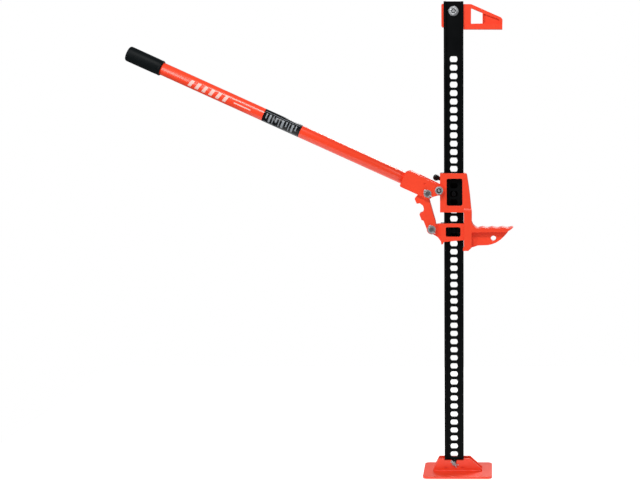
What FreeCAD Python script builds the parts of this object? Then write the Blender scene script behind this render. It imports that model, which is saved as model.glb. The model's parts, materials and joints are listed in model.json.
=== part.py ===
import FreeCAD, Part
import PartDesign
import Sketcher
import math
import os

# Rack-type farm jack.
# X points to the lifting nose, Y points away from the operator's side and Z points up the bar.
# The origin lies on the underside of the base plate, below the axis of the bar.

FRONT = "XZ_Plane"
TOP = "XY_Plane"
SIDE = "YZ_Plane"

SIZES = [
    ("bar_width", 50.0),
    ("bar_depth", 18.0),
    ("bar_flange", 6.0),
    ("bar_web", 8.0),
    ("bar_length", 1219.0),
    ("hole_pitch", 21.5),
    ("hole_count", 50),
    ("hole_low_z", 26.5),
    ("hole_half_width", 9.7),
    ("hole_half_height", 7.3),
    ("plate_thickness", 6.0),
    ("plate_left", 80.0),
    ("plate_right", 100.0),
    ("plate_half_depth", 67.0),
    ("plate_corner", 12.0),
    ("cheek_thickness", 6.0),
    ("cheek_height", 33.0),
    ("base_pin_radius", 5.0),
    ("runner_clearance", 0.4),
    ("runner_wall", 7.6),
    ("upper_bottom_z", 689.0),
    ("upper_top_z", 790.0),
    ("upper_left_x", 35.0),
    ("upper_pin_z", 736.0),
    ("spine_right_x", 46.4),
    ("spine_bottom_z", 590.0),
    ("nose_top_z", 649.0),
    ("nose_tip_x", 153.4),
    ("nose_half_width", 22.0),
    ("nose_web_half", 11.0),
    ("nose_hole_radius", 7.0),
    ("pivot_x", 37.0),
    ("pivot_z", 746.0),
    ("pivot_radius", 5.0),
    ("lug_radius", 13.0),
    ("handle_angle", 24.4),
    ("handle_axis_drop", 10.6),
    ("socket_half_height", 24.5),
    ("socket_inner_half", 17.4),
    ("socket_outer_half", 23.4),
    ("socket_fork_end", 62.5),
    ("socket_end", 97.0),
    ("link_pin_along", 23.742),
    ("link_pin_drop", 8.954),
    ("link_pin_radius", 6.0),
    ("tube_radius", 16.3),
    ("tube_wall", 1.8),
    ("handle_reach", 867.3),
    ("grip_length", 96.0),
    ("grip_radius", 20.0),
    ("ear_x", 56.8),
    ("ear_z", 645.0),
    ("ear_half", 9.5),
    ("ear_radius", 11.5),
    ("lower_top_z", 660.5),
    ("lower_bottom_z", 617.5),
    ("lower_pin_z", 639.25),
    ("lower_half_depth", 16.0),
    ("climbing_pin_radius", 6.5),
    ("pin_running_gap", 0.08),
    ("clamp_bolt_z", 1200.6),
    ("clamp_back", 15.0),
    ("latch_x", 12.0),
    ("latch_z", 768.0),
    ("knob_x", 46.7),
    ("knob_z", 776.0),
    ("knob_radius", 8.6),
]

doc = FreeCAD.newDocument("FarmJack")
sheet = doc.addObject("Spreadsheet::Sheet", "Sizes")
for row, (alias, number) in enumerate(SIZES, start=1):
    sheet.set("A%d" % row, str(number))
    sheet.setAlias("A%d" % row, alias)
doc.recompute()


class Size:
    """A number that remembers the formula tying it to the sheet."""

    def __init__(self, number, formula=None):
        self.number = float(number)
        self.formula = formula or "%.6g" % number

    def __add__(self, other):
        other = as_size(other)
        return Size(self.number + other.number, "(%s + %s)" % (self.formula, other.formula))

    def __sub__(self, other):
        other = as_size(other)
        return Size(self.number - other.number, "(%s - %s)" % (self.formula, other.formula))

    def __mul__(self, other):
        other = as_size(other)
        return Size(self.number * other.number, "(%s * %s)" % (self.formula, other.formula))

    def __truediv__(self, other):
        other = as_size(other)
        return Size(self.number / other.number, "(%s / %s)" % (self.formula, other.formula))

    def __neg__(self):
        return Size(-self.number, "(0 - %s)" % self.formula)

    def __radd__(self, other):
        return as_size(other) + self

    def __rsub__(self, other):
        return as_size(other) - self

    def __float__(self):
        return self.number


def as_size(value):
    return value if isinstance(value, Size) else Size(value)


def size(alias):
    return Size(sheet.get(alias), "Sizes." + alias)


def bind(owner, prop, value):
    """Ties a property to the sheet, or just sets it when the value is a plain number."""
    if isinstance(value, Size):
        owner.setExpression(prop, value.formula)
        return
    owner.setExpression(prop, "%.6g" % value)


def new_body(label):
    body = doc.addObject("PartDesign::Body", label)
    body.Label = label
    return body


def new_sketch(body, plane_role, offset):
    """Makes a sketch on one of the body's own origin planes, moved along the plane's normal."""
    sketch = body.newObject("Sketcher::SketchObject", body.Label + "_outline")
    plane = [item for item in body.Origin.OriginFeatures if item.Role == plane_role][0]
    sketch.AttachmentSupport = (plane, "")
    sketch.MapMode = "FlatFace"
    bind(sketch, "AttachmentOffset.Base.z", offset)
    return sketch


def pin_point(sketch, geometry, end, x, y):
    """Holds one point of the sketch at x, y from the sketch's origin."""
    for kind, value in (("DistanceX", x), ("DistanceY", y)):
        number = sketch.addConstraint(Sketcher.Constraint(kind, -1, 1, geometry, end, float(value)))
        if isinstance(value, Size):
            sketch.setExpression("Constraints[%d]" % number, value.formula)


def draw_outline(sketch, points):
    """Draws a closed outline of straight lines through the given corners."""
    corners = [FreeCAD.Vector(float(x), float(y), 0) for x, y in points]
    lines = []
    for start, end in zip(corners, corners[1:] + corners[:1]):
        lines.append(sketch.addGeometry(Part.LineSegment(start, end), False))
    for line, following in zip(lines, lines[1:] + lines[:1]):
        sketch.addConstraint(Sketcher.Constraint("Coincident", line, 2, following, 1))
    for line, (x, y) in zip(lines, points):
        pin_point(sketch, line, 1, x, y)


def draw_circle(sketch, x, y, radius):
    centre = FreeCAD.Vector(float(x), float(y), 0)
    normal = FreeCAD.Vector(0, 0, 1)
    ring = sketch.addGeometry(Part.Circle(centre, normal, float(radius)), False)
    pin_point(sketch, ring, 3, x, y)
    number = sketch.addConstraint(Sketcher.Constraint("Radius", ring, float(radius)))
    if isinstance(radius, Size):
        sketch.setExpression("Constraints[%d]" % number, radius.formula)


def draw_slot(sketch, x, y, reach, radius):
    """Draws a slot with round ends whose centres lie reach to either side of x, y."""
    left = FreeCAD.Vector(float(x - reach), float(y), 0)
    right = FreeCAD.Vector(float(x + reach), float(y), 0)
    rise = FreeCAD.Vector(0, float(radius), 0)
    normal = FreeCAD.Vector(0, 0, 1)
    quarter = math.pi / 2
    upper = sketch.addGeometry(Part.LineSegment(left + rise, right + rise), False)
    lower = sketch.addGeometry(Part.LineSegment(left - rise, right - rise), False)
    right_arc = Part.ArcOfCircle(Part.Circle(right, normal, float(radius)), -quarter, quarter)
    left_arc = Part.ArcOfCircle(Part.Circle(left, normal, float(radius)), quarter, 3 * quarter)
    right_end = sketch.addGeometry(right_arc, False)
    left_end = sketch.addGeometry(left_arc, False)
    sketch.addConstraint(Sketcher.Constraint("Coincident", upper, 2, right_end, 2))
    sketch.addConstraint(Sketcher.Constraint("Coincident", lower, 2, right_end, 1))
    sketch.addConstraint(Sketcher.Constraint("Coincident", upper, 1, left_end, 1))
    sketch.addConstraint(Sketcher.Constraint("Coincident", lower, 1, left_end, 2))
    pin_point(sketch, right_end, 3, x + reach, y)
    pin_point(sketch, left_end, 3, x - reach, y)


def box_points(left, right, low, high):
    return [(left, low), (right, low), (right, high), (left, high)]


def add_feature(body, kind, draw, plane_role, offset, length):
    """Draws a sketch with the given function and pads or pockets it over the length."""
    sketch = new_sketch(body, plane_role, offset)
    draw(sketch)
    feature = body.newObject("PartDesign::" + kind, body.Label + "_" + kind.lower())
    feature.Profile = sketch
    bind(feature, "Length", length)
    body.Tip = feature
    doc.recompute()
    return feature


def slab(body, draw, front, back):
    """Adds material drawn in the XZ plane, from y = front to y = back."""
    return add_feature(body, "Pad", draw, FRONT, -as_size(back), back - as_size(front))


def carve(body, draw, front, back):
    """Takes away material drawn in the XZ plane, from y = front to y = back."""
    before = body.Shape.Volume
    feature = add_feature(body, "Pocket", draw, FRONT, -as_size(front), back - as_size(front))
    check_cut(body, before)
    return feature


def column(body, draw, low, high):
    """Adds material drawn in the XY plane, from z = low to z = high."""
    return add_feature(body, "Pad", draw, TOP, low, high - as_size(low))


def sink(body, draw, low, high):
    """Takes away material drawn in the XY plane, from z = high down to z = low."""
    before = body.Shape.Volume
    feature = add_feature(body, "Pocket", draw, TOP, high, high - as_size(low))
    check_cut(body, before)
    return feature


def beam(body, draw, left, right):
    """Adds material drawn in the YZ plane, from x = left to x = right."""
    return add_feature(body, "Pad", draw, SIDE, left, right - as_size(left))


def drill_along(body, draw, left, right):
    """Takes away material drawn in the YZ plane, from x = right down to x = left."""
    before = body.Shape.Volume
    feature = add_feature(body, "Pocket", draw, SIDE, right, right - as_size(left))
    check_cut(body, before)
    return feature


def check_cut(body, before):
    if body.Shape.Volume > before - 0.01:
        raise RuntimeError("a cut in %s removes nothing" % body.Label)


def box(left, right, low, high):
    return lambda sketch: draw_outline(sketch, box_points(left, right, low, high))


def outline(points):
    return lambda sketch: draw_outline(sketch, points)


def circle(x, y, radius):
    return lambda sketch: draw_circle(sketch, x, y, radius)


def ring(x, y, outer, inner):
    def draw(sketch):
        draw_circle(sketch, x, y, outer)
        draw_circle(sketch, x, y, inner)
    return draw


def slot(x, y, reach, radius):
    return lambda sketch: draw_slot(sketch, x, y, reach, radius)


def hexagon(x, y, corner_radius):
    corners = []
    for step in range(6):
        angle = math.radians(60 * step)
        corners.append((x + corner_radius * math.cos(angle), y + corner_radius * math.sin(angle)))
    return outline(corners)


def round_edges(body, kind, amount, wanted):
    """Fillets or chamfers every edge of the body for which wanted(edge) is true."""
    names = ["Edge%d" % (i + 1) for i, edge in enumerate(body.Shape.Edges) if wanted(edge)]
    if not names:
        raise RuntimeError("no edge to round on " + body.Label)
    base = body.Tip
    feature = body.newObject("PartDesign::" + kind, body.Label + "_" + kind.lower())
    feature.Base = (base, names)
    bind(feature, "Radius" if kind == "Fillet" else "Size", amount)
    body.Tip = feature
    doc.recompute()
    return feature


def along(edge, axis):
    """True for a straight edge parallel to the axis, 0 for X, 1 for Y and 2 for Z."""
    if edge.Curve.TypeId != "Part::GeomLine":
        return False
    return abs(abs(edge.Curve.Direction[axis]) - 1) < 1e-6


def near(edge, x=None, y=None, z=None, reach=0.6):
    centre = edge.CenterOfMass
    pairs = ((x, centre.x), (y, centre.y), (z, centre.z))
    return all(want is None or abs(float(want) - have) < reach for want, have in pairs)


def cylinder(label, x, z, radius, front, back):
    body = new_body(label)
    slab(body, circle(x, z, radius), front, back)
    return body


def perforated_bar():
    """I-section bar with round-sided holes at an even pitch and one bolt hole near its top."""
    bar = new_body("standard_bar")
    half_width = size("bar_width") / 2
    half_depth = size("bar_depth") / 2
    half_web = size("bar_web") / 2
    low = size("plate_thickness")
    high = low + size("bar_length")
    column(bar, box(-half_width, half_width, -half_depth, half_depth), low, high)
    channel = half_width - size("bar_flange")
    carve(bar, box(-channel, channel, low, high), -half_depth, -half_web)
    carve(bar, box(-channel, channel, low, high), half_web, half_depth)
    carve(bar, circle(0, size("clamp_bolt_z"), 5.3), -half_web, half_web)
    hole = carve(bar, bar_hole, -half_web, half_web)
    pattern = bar.newObject("PartDesign::LinearPattern", "hole_row")
    pattern.Originals = [hole]
    upward = [item for item in bar.Origin.OriginFeatures if item.Role == "Z_Axis"][0]
    pattern.Direction = (upward, [""])
    pattern.Mode = "Spacing"
    bind(pattern, "Offset", size("hole_pitch"))
    pattern.setExpression("Occurrences", "Sizes.hole_count")
    bar.Tip = pattern
    doc.recompute()
    return bar


def bar_hole(sketch):
    """Draws a hole with flat top and bottom and round sides."""
    z = float(size("hole_low_z"))
    half_width = float(size("hole_half_width"))
    half_height = float(size("hole_half_height"))
    flat = math.sqrt(half_width ** 2 - half_height ** 2)
    centre = FreeCAD.Vector(0, z, 0)
    full = Part.Circle(centre, FreeCAD.Vector(0, 0, 1), half_width)
    swing = math.asin(half_height / half_width)
    right_arc = sketch.addGeometry(Part.ArcOfCircle(full, -swing, swing), False)
    left_arc = sketch.addGeometry(Part.ArcOfCircle(full, math.pi - swing, math.pi + swing), False)
    top_left = FreeCAD.Vector(-flat, z + half_height, 0)
    top_right = FreeCAD.Vector(flat, z + half_height, 0)
    bottom_left = FreeCAD.Vector(-flat, z - half_height, 0)
    bottom_right = FreeCAD.Vector(flat, z - half_height, 0)
    top_line = sketch.addGeometry(Part.LineSegment(top_right, top_left), False)
    bottom_line = sketch.addGeometry(Part.LineSegment(bottom_left, bottom_right), False)
    sketch.addConstraint(Sketcher.Constraint("Coincident", right_arc, 2, top_line, 1))
    sketch.addConstraint(Sketcher.Constraint("Coincident", top_line, 2, left_arc, 1))
    sketch.addConstraint(Sketcher.Constraint("Coincident", left_arc, 2, bottom_line, 1))
    sketch.addConstraint(Sketcher.Constraint("Coincident", bottom_line, 2, right_arc, 1))
    pin_point(sketch, right_arc, 3, 0, size("hole_low_z"))
    pin_point(sketch, left_arc, 3, 0, size("hole_low_z"))


def base_parts():
    """Base plate, its two upright cheeks and the pin that holds the bar between them."""
    plate = new_body("base_plate")
    left = -size("plate_left")
    right = size("plate_right")
    deep = size("plate_half_depth")
    top = size("plate_thickness")
    column(plate, box(left, right, -deep, deep), 0, top)
    round_edges(plate, "Fillet", size("plate_corner"), lambda edge: along(edge, 2))
    round_edges(plate, "Fillet", 1.5, lambda edge: near(edge, z=top, reach=0.1))
    inner = size("bar_depth") / 2 + size("runner_clearance")
    outer = inner + size("cheek_thickness")
    high = top + size("cheek_height")
    cheek_outline = [(-54, top), (74, top), (74, top + 4), (42, high), (-40, high), (-54, top + 6)]
    pin_z = size("hole_low_z")
    cheeks = []
    for label, front, back in (("base_cheek_front", -outer, -inner), ("base_cheek_back", inner, outer)):
        cheek = new_body(label)
        slab(cheek, outline(cheek_outline), front, back)
        carve(cheek, circle(0, pin_z, size("base_pin_radius") + 0.2), front, back)
        cheeks.append(cheek)
    notch = [(-8.5, high), (-5.0, pin_z), (5.0, pin_z), (8.5, high)]
    carve(cheeks[0], outline(notch), -outer, -inner)
    seat = size("bar_width") / 2 + size("runner_clearance")
    carve(cheeks[0], box(-seat, seat, high - 4.5, high), -outer, -inner)
    for x in (-21, 23):
        carve(cheeks[0], slot(x, 15, 2.5, 1.8), -outer, -outer + 2.5)
    cylinder("base_pin", 0, pin_z, size("base_pin_radius"), -outer - 5, outer + 5)
    cotter = new_body("base_pin_cotter")
    gap = size("base_pin_radius") + 0.2
    slab(cotter, ring(0, pin_z, gap + 2.4, gap), -outer - 3.2, -outer - 1.2)
    slab(cotter, box(gap - 1.4, gap + 5, pin_z - 6.6, pin_z - 4.2), -outer - 3.2, -outer - 1.2)


def top_clamp_parts():
    """Clamp head fixed behind and beside the top of the bar, with a cross bolt."""
    clamp = new_body("top_clamp")
    side = size("bar_width") / 2 + size("runner_clearance")
    behind = size("bar_depth") / 2 + size("runner_clearance")
    back = size("clamp_back")
    slab(clamp, box(-31, 43, 1160, 1217), behind, back)
    slab(clamp, box(-31, -side, 1160, 1219), -2, back)
    slab(clamp, box(side, 44.2, 1155, 1218), -6, back)
    arm = [(42, 1155), (124, 1155), (124.4, 1180), (120.6, 1185), (46, 1217.5), (42, 1218)]
    slab(clamp, outline(arm), -6, 12)
    slab(clamp, outline([(34, 1155), (124, 1155), (124, 1166), (34, 1167)]), -12, back)
    carve(clamp, outline([(44.2, 1169), (73.6, 1169.6), (73.6, 1196.4), (44.4, 1208.4)]), -6, 12)
    recess = [(76, 1169.3), (116, 1168.4), (116, 1180), (76, 1194)]
    carve(clamp, outline(recess), -6, -2)
    carve(clamp, outline(recess), 8, 12)
    bolt_z = size("clamp_bolt_z")
    carve(clamp, circle(0, bolt_z, 5.3), behind, back)
    round_edges(clamp, "Fillet", 4, lambda edge: along(edge, 1) and near(edge, x=-31))
    web = size("bar_web") / 2
    bolt = cylinder("top_clamp_bolt", 0, bolt_z, 5, -web - 2, back + 14)
    slab(bolt, hexagon(0, bolt_z, 9.8), -web - 8.4, -web - 2)
    washers = new_body("top_clamp_washer")
    slab(washers, ring(0, bolt_z, 12.4, 5.2), -web - 2, -web)
    nut = new_body("top_clamp_nut")
    nut_ring(nut, 0, bolt_z, 9.8, 5.05, back, back + 8)


def nut_ring(body, x, z, corner_radius, bore, front, back):
    slab(body, hexagon(x, z, corner_radius), front, back)
    carve(body, circle(x, z, bore), front, back)


def bar_passage(body, low, high):
    """Cuts the upright passage that slides on the bar."""
    side = size("bar_width") / 2 + size("runner_clearance")
    deep = size("bar_depth") / 2 + size("runner_clearance")
    sink(body, box(-side, side, -deep, deep), low, high)


def large_runner():
    """Upper runner with its window, pivot lug and rear pin boss."""
    runner = new_body("large_runner")
    low = size("upper_bottom_z")
    high = size("upper_top_z")
    left = -size("upper_left_x")
    right = size("spine_right_x")
    deep = size("bar_depth") / 2 + size("runner_clearance") + size("runner_wall")
    body_points = [(left, low), (right, low), (44.5, 702), (41.6, 733), (38, 760), (34, 785),
                   (32, high), (left, high)]
    slab(runner, outline(body_points), -deep, deep)
    slab(runner, circle(-size("pivot_x"), size("pivot_z"), size("lug_radius")), -deep, deep)
    bar_passage(runner, low - 1, high)
    carve(runner, outline(box_points(-18, 22.5, 706, 776)), -deep, -deep + 8)
    carve(runner, circle(-size("pivot_x"), size("pivot_z"), size("pivot_radius") + 0.05), -deep, deep)
    pin_z = size("upper_pin_z")
    slab(runner, circle(0, pin_z, 14), deep - 1, 36)
    carve(runner, circle(0, pin_z, 6.58), 8, 36)
    carve(runner, circle(0, pin_z, 11), 19, 36)
    carve(runner, circle(-size("latch_x"), size("latch_z"), 3.05), 9, deep)
    round_edges(runner, "Fillet", 5, lambda edge: along(edge, 1) and near(edge, x=32, z=high))
    round_edges(runner, "Fillet", 5, lambda edge: along(edge, 1) and near(edge, y=-13.2)
                and -19 < edge.CenterOfMass.x < 23.5 and 700 < edge.CenterOfMass.z < 780)
    return runner


def scalloped_top(first, last, middle_z, swing, pitch, crest):
    """Corners of a gently waved edge, from the larger x to the smaller."""
    steps = 26
    corners = []
    for step in range(steps + 1):
        x = first + (last - first) * step / steps
        corners.append((x, middle_z + swing * math.cos(2 * math.pi * (x - crest) / pitch)))
    return corners


def lifting_nose():
    """Spine that hangs from the upper runner and the ribbed nose that takes the load."""
    nose = new_body("lifting_nose")
    low = size("spine_bottom_z")
    joint = size("upper_bottom_z")
    right = size("spine_right_x")
    left = 26.2
    deep = size("bar_depth") / 2 + size("runner_clearance") + size("runner_wall")
    front = -deep - 5
    slab(nose, box(32, right, low, joint), -13.5, 13.5)
    plate = [(front, low), (-13, low), (-13, joint), (-deep, joint), (-deep, joint + 10), (front, joint)]
    beam(nose, outline(plate), left, right)
    slab(nose, box(left, right, low, joint), 13, deep)
    slab(nose, outline([(24, low), (30, low), (30, low + 16), (26, low + 10), (24, low + 7)]), front, -13)
    web = [(44, 597), (54, 600), (62, 603), (88, 604), (99, 606.5), (110, 611), (121, 618.5),
           (131, 628), (139.5, 638), (141.5, 644), (60, 644), (44, 662)]
    web_half = size("nose_web_half")
    slab(nose, outline(web), -web_half, web_half)
    flange = [(44, 638), (134.5, 639), (144.5, 643.5), (size("nose_tip_x"), size("nose_top_z") + 2),
              (151.4, 651.4)]
    flange += scalloped_top(145.5, 62, 649.6, 1.2, 25.3, 100.4)
    flange += [(56, 651), (50, 656), (46.4, 664), (44, 664)]
    half = size("nose_half_width")
    slab(nose, outline(flange), -half, half)
    carve(nose, circle(102.4, 621.5, size("nose_hole_radius")), -web_half, web_half)
    heel = [(36.5, low - 1), (right + 1, low - 1), (right + 1, low + 9.5)]
    carve(nose, outline(heel), front, deep)


def shear_bolt_parts():
    x = -size("pivot_x")
    z = size("pivot_z")
    outer = size("socket_outer_half")
    radius = size("pivot_radius")
    bolt = cylinder("shear_bolt", x, z, radius, -outer - 1.6, outer + 9)
    slab(bolt, hexagon(x, z, 9.6), -outer - 8, -outer - 1.6)
    washers = new_body("shear_bolt_washers")
    slab(washers, ring(x, z, 10.4, radius + 0.1), -outer - 1.5, -outer - 0.1)
    rear = new_body("shear_bolt_nut")
    nut_ring(rear, x, z, 9.6, radius + 0.05, outer + 0.15, outer + 8)
    spacer = new_body("latch_spacer")
    latch_x = -size("latch_x")
    latch_z = size("latch_z")
    slab(spacer, ring(latch_x, latch_z, 6, 3.1), 17.05, 25.1)
    screw = cylinder("latch_screw", latch_x, latch_z, 3, 10, 29.4)
    slab(screw, circle(latch_x, latch_z, 6), 29.4, 32)


def spring(label, z, radius, wire, front, back, turns):
    """Coil spring around an axis parallel to Y."""
    coil = doc.addObject("Part::Feature", label)
    coil.Label = label
    length = back - front - 2 * wire
    helix = Part.makeHelix(length / turns, length, radius)
    profile = Part.Wire(Part.makeCircle(wire, FreeCAD.Vector(radius, 0, 0), FreeCAD.Vector(0, 1, 0)))
    coil.Shape = Part.Wire(helix).makePipeShell([profile], True, True)
    turn = FreeCAD.Rotation(FreeCAD.Vector(1, 0, 0), -90)
    coil.Placement = FreeCAD.Placement(FreeCAD.Vector(0, front + wire, z), turn)


def climbing_pin(label, z, nose, collar_front, shaft_back, radius):
    """Pin with a nose that enters the bar's holes and a collar that the spring pushes on."""
    pin = cylinder(label, 0, z, radius, nose, shaft_back)
    slab(pin, circle(0, z, 9.5), collar_front, collar_front + 2)
    round_edges(pin, "Chamfer", 1.2, lambda edge: near(edge, y=nose, reach=0.05))


def pin_parts():
    upper_z = size("upper_pin_z")
    radius = size("climbing_pin_radius")
    climbing_pin("upper_climbing_pin", upper_z, -5.4, 19.2, 46, radius)
    spring("upper_pin_spring", float(upper_z), 8.2, 0.9, 21.4, 35.8, 5)
    cap = new_body("upper_pin_cap")
    slab(cap, ring(0, upper_z, 14, 6.6), 36.05, 40)
    head = new_body("upper_pin_head")
    slab(head, circle(0, upper_z, 10), 46.02, 53)
    round_edges(head, "Fillet", 1.5, lambda edge: near(edge, y=53, reach=0.1))
    lower_z = size("lower_pin_z")
    climbing_pin("lower_climbing_pin", lower_z, 4.35, 18.4, 42, radius)
    spring("lower_pin_spring", float(lower_z), 8.2, 0.9, 20.6, 31.8, 4)
    lower_cap = new_body("lower_pin_cap")
    slab(lower_cap, ring(0, lower_z, 13, 6.6), 32.05, 35.5)
    lower_head = new_body("lower_pin_head")
    slab(lower_head, circle(0, lower_z, 9), 42.02, 48)
    round_edges(lower_head, "Fillet", 1.5, lambda edge: near(edge, y=48, reach=0.1))


def small_runner():
    """Lower runner with its window, ear for the pitman and rear pin boss."""
    runner = new_body("small_runner")
    deep = size("lower_half_depth")
    high = size("lower_top_z")
    low = size("lower_bottom_z")
    shape = [(-34, high), (-34, 619), (-31.6, 605.7), (-28, 607), (-25, 612.5), (25.8, low), (25.8, high)]
    slab(runner, outline(shape), -deep, deep)
    slab(runner, box(25, 31.4, low, high), -12.4, 12.4)
    ear_half = size("ear_half")
    ear = [(-30, high - 1), (-57, 657), (-66, 651), (-66, 638), (-52, 631), (-41, 624), (-33, 613)]
    slab(runner, outline(ear), -ear_half, ear_half)
    slab(runner, circle(-size("ear_x"), size("ear_z"), size("ear_radius")), -ear_half, ear_half)
    bar_passage(runner, 600, 665)
    carve(runner, outline(box_points(-20.5, 17.5, 626, 651)), -deep, -deep + 8)
    pin_z = size("lower_pin_z")
    slab(runner, circle(0, pin_z, 13), deep - 1, 32)
    carve(runner, circle(0, pin_z, 6.58), 8, 32)
    carve(runner, circle(0, pin_z, 10.5), 18.2, 32)
    hole = size("link_pin_radius") + 0.05
    carve(runner, circle(-size("ear_x"), size("ear_z"), hole), -ear_half, ear_half)
    round_edges(runner, "Fillet", 4, lambda edge: along(edge, 1) and near(edge, y=-12.7)
                and -22 < edge.CenterOfMass.x < 19 and 624 < edge.CenterOfMass.z < 653)


def pitman_link():
    """Forked link with hooked horns, a slotted upper eye and a round lower eye."""
    link = new_body("pitman_link")
    thick = size("socket_inner_half") - 0.4
    upper_x = -size("pivot_x") - 29.7
    upper_z = size("pivot_z") - 8
    body_points = [(-79, 742), (-92, 735), (-99.8, 726), (-99.8, 722.6), (-95, 711.6), (-86.5, 712.4),
                   (-78.6, 706), (-76.6, 698), (-78.7, 690), (-87.3, 686.5), (-88, 683.3),
                   (-82.6, 669), (-77.9, 667.6), (-71.6, 651.8), (-68, 642), (-46, 640),
                   (-45.4, 652), (-47.4, 665), (-63, 721), (-56, 734), (-58, 745)]
    slab(link, outline(body_points), -thick, thick)
    slab(link, circle(-size("ear_x"), size("ear_z"), 12.4), -thick, thick)
    slab(link, slot(upper_x + 2.2, upper_z, 2.2, 10.4), -thick, thick)
    fork = size("ear_half") + 0.3
    carve(link, outline([(-90, 625), (-30, 625), (-30, 682), (-90, 682)]), -fork, fork)
    horn_gap = [(-104, 700), (-82, 700), (-82, 712), (-40, 712), (-40, 760), (-104, 760)]
    carve(link, outline(horn_gap), -fork, fork)
    carve(link, slot(upper_x + 2.2, upper_z, 3.6, 7.6), -thick, thick)
    carve(link, circle(-size("ear_x"), size("ear_z"), size("link_pin_radius") + 0.08), -thick, thick)


def link_pins():
    """Lower pitman pin in the small runner and upper pitman pin in the handle socket."""
    radius = size("link_pin_radius")
    x = -size("ear_x")
    z = size("ear_z")
    lower = cylinder("lower_pitman_pin", x, z, radius, -24, 19.5)
    slab(lower, circle(x, z, 9), 17.4, 20.5)
    washer = new_body("lower_pitman_washer")
    slab(washer, ring(x, z, 10.5, radius + 0.1), -19, -17.3)
    cotter(new_body("lower_pitman_cotter"), x, z, radius, -22)
    outer = size("socket_outer_half")
    x = -size("pivot_x") - 29.7
    z = size("pivot_z") - 8
    upper = cylinder("upper_pitman_pin", x, z, radius, -outer - 6.6, outer + 1.4)
    slab(upper, circle(x, z, 9.5), outer + 0.05, outer + 1.5)
    washer = new_body("upper_pitman_washer")
    slab(washer, ring(x, z, 10, radius + 0.1), -outer - 1.7, -outer - 0.1)
    cotter(new_body("upper_pitman_cotter"), x, z, radius, -outer - 4.6)


def cotter(body, x, z, radius, y):
    """Split pin bent round a clevis pin, with its legs turned down to the lower right."""
    gap = radius + 0.15
    slab(body, ring(x, z, gap + 1.6, gap), y - 1, y + 1)
    legs = [(x + 4.6, z - 5.6), (x + 6.4, z - 4.2), (x + 10.6, z - 10.2), (x + 8.8, z - 11.6)]
    slab(body, outline(legs), y - 1, y + 1)


def handle_frame(body):
    """Puts a piece drawn along -X from the pivot at the handle's resting slope."""
    origin = FreeCAD.Vector(-float(size("pivot_x")), 0, float(size("pivot_z")))
    turn = FreeCAD.Rotation(FreeCAD.Vector(0, 1, 0), float(size("handle_angle")))
    body.Placement = FreeCAD.Placement(origin, turn)
    body.setExpression("Placement.Rotation.Angle", "Sizes.handle_angle")


def handle_parts():
    """Socket with two cheeks, tube, grip and their small parts, drawn along -X from the pivot."""
    drop = -size("handle_axis_drop")
    half = size("socket_half_height")
    inner = size("socket_inner_half")
    outer = size("socket_outer_half")
    fork_end = -size("socket_fork_end")
    end = -size("socket_end")
    pin_x = -size("link_pin_along")
    pin_z = drop - size("link_pin_drop")
    socket = new_body("handle_socket")
    top = drop + half + 1.2
    bottom = drop - half + 2.6
    flat = [(0, 13), (end + 9, top), (end, top - 7), (end, bottom + 3), (end + 3, bottom),
            (pin_x - 2, bottom), (pin_x + 13, pin_z - 5), (12, -5)]
    slab(socket, outline(flat), -outer, outer)
    slab(socket, circle(0, 0, size("lug_radius")), -outer, outer)
    slab(socket, circle(pin_x, pin_z, 14.6), -outer, outer)
    carve(socket, box(fork_end, 20, -50, 30), -inner, inner)
    drill_along(socket, circle(0, drop, size("tube_radius") + 0.1), end - 1, fork_end + 1)
    carve(socket, circle(0, 0, size("pivot_radius") + size("pin_running_gap")), -outer, outer)
    carve(socket, circle(pin_x, pin_z, size("link_pin_radius") + 0.05), -outer, outer)
    carve(socket, circle(-40, 0, 3), -outer, -outer + 1.5)
    carve(socket, circle(-78, drop, 4.05), 15, outer)
    tube = new_body("handle_tube")
    radius = size("tube_radius")
    reach = -size("handle_reach")
    beam(tube, ring(0, drop, radius, radius - size("tube_wall")), reach + 4, fork_end - 1)
    grip = new_body("handle_grip")
    grip_radius = size("grip_radius")
    beam(grip, circle(0, drop, grip_radius), reach, reach + size("grip_length"))
    drill_along(grip, circle(0, drop, radius + 0.05), reach + 3.9, reach + size("grip_length"))
    round_edges(grip, "Fillet", 4, lambda edge: near(edge, x=reach, reach=0.1))
    screw = new_body("handle_set_screw")
    slab(screw, circle(-78, drop, 4), radius + 0.2, outer)
    slab(screw, hexagon(-78, drop, 7.5), outer + 0.05, outer + 5)
    for body in (socket, tube, grip, screw):
        handle_frame(body)


def latch_parts():
    """Reversing lever behind the large runner, with a round knob at its free end."""
    x = -size("latch_x")
    z = size("latch_z")
    knob_x = -size("knob_x")
    knob_z = size("knob_z")
    lever = new_body("reversing_latch")
    slab(lever, circle(x, z, 8), 25.2, 29.2)
    edge = [(x, z + 6), (knob_x, knob_z + 5), (knob_x, knob_z - 5), (x, z - 6)]
    slab(lever, outline(edge), 25.2, 29.2)
    slab(lever, circle(knob_x, knob_z, 5), 25.2, 29.2)
    carve(lever, circle(x, z, 3.08), 25.2, 29.2)
    carve(lever, circle(knob_x, knob_z, 2.5), 25.2, 29.2)
    knob = new_body("latch_knob")
    slab(knob, circle(knob_x, knob_z, size("knob_radius")), 29.4, 42)
    slab(knob, circle(knob_x, knob_z, 2.4), 25.4, 29.4)
    round_edges(knob, "Fillet", 4, lambda item: near(item, y=42, reach=0.1))


perforated_bar()
base_parts()
top_clamp_parts()
large_runner()
lifting_nose()
shear_bolt_parts()
pin_parts()
small_runner()
pitman_link()
link_pins()
handle_parts()
latch_parts()
doc.recompute()

for item in doc.Objects:
    if "Invalid" in item.State or "Error" in item.State:
        raise RuntimeError("%s did not recompute: %s" % (item.Label, item.State))

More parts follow.
